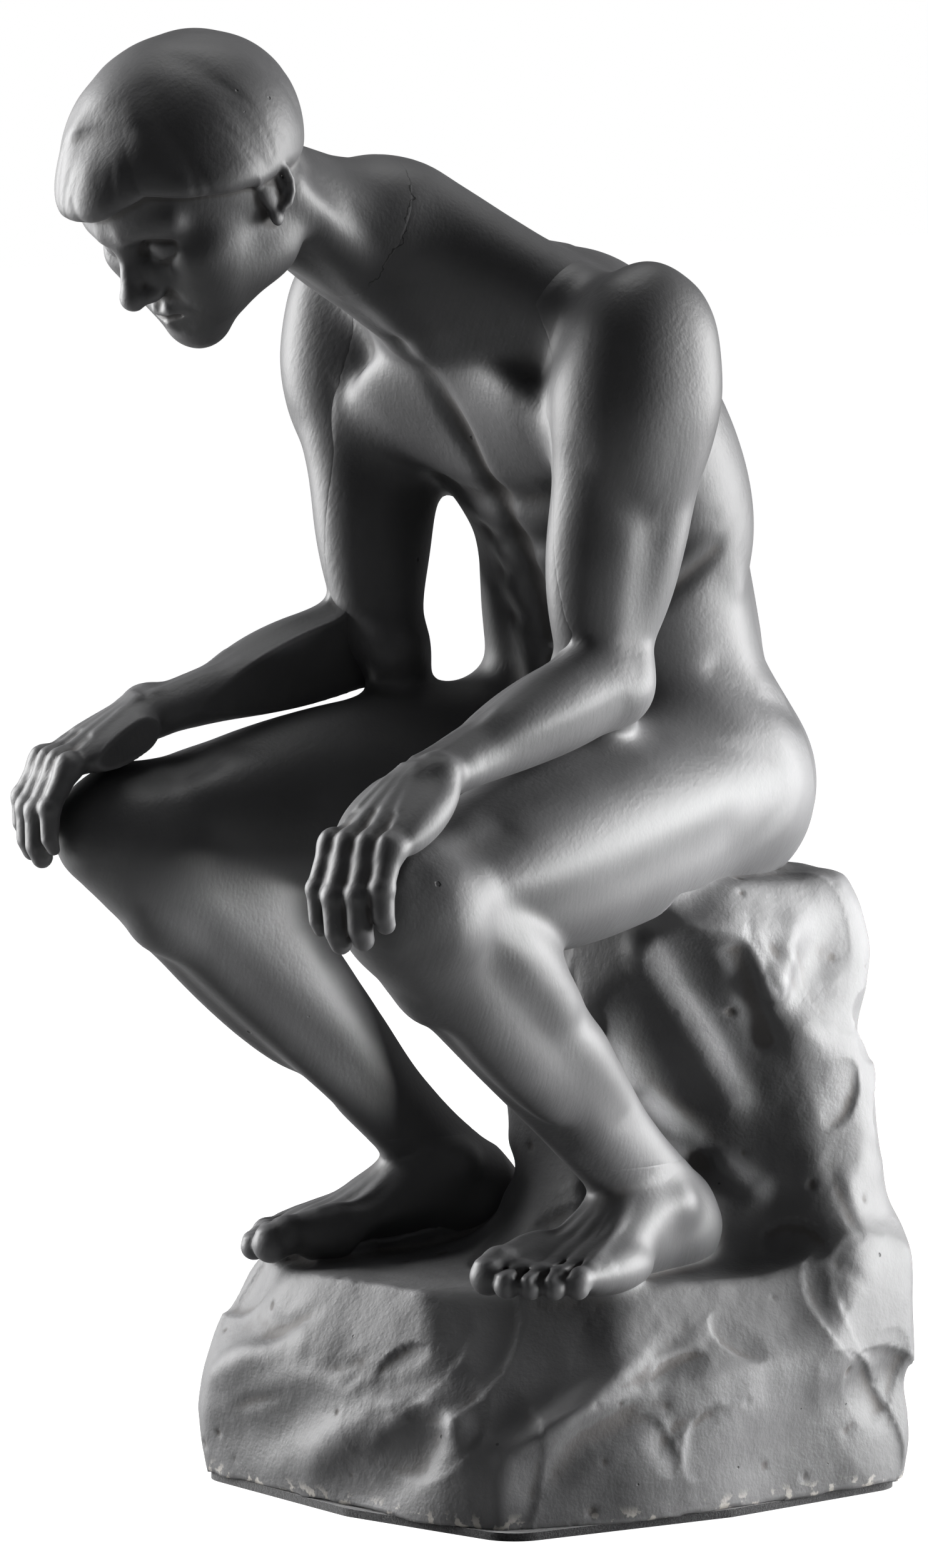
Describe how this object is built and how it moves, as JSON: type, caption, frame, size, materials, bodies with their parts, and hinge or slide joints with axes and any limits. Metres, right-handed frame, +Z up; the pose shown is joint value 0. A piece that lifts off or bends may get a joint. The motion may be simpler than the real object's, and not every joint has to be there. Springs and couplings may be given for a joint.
{
  "type": "seated figure ornament",
  "caption": "Shelf ornament: a pensive nude figure sits on a rough rock, forearms along its thighs and hands over its knees, cast in dark satin resin on a felt base.",
  "frame": {"origin": "Middle of the underside of the felt, where the ornament rests on a shelf.", "axes": "+Z up. The figure faces -Y, and its left side is +X."},
  "size_m": [0.1061, 0.1648, 0.2727],
  "materials": {
    "figure": "satin",
    "rock": "satin",
    "hardboard": "matte",
    "felt": "matte",
    "steel": "satin"
  },
  "bodies": {
    "root": {"figure_body": "figure", "head": "figure", "left_arm": "figure", "right_arm": "figure", "rock_base": "rock", "base_plate": "hardboard", "felt_sheet": "felt", "neck_dowel": "steel", "left_shoulder_dowel": "steel", "right_shoulder_dowel": "steel", "left_foot_dowel": "steel", "right_foot_dowel": "steel", "seat_stud": "steel", "seat_washer": "steel", "seat_nut": "steel"}
  },
  "joints": []
}
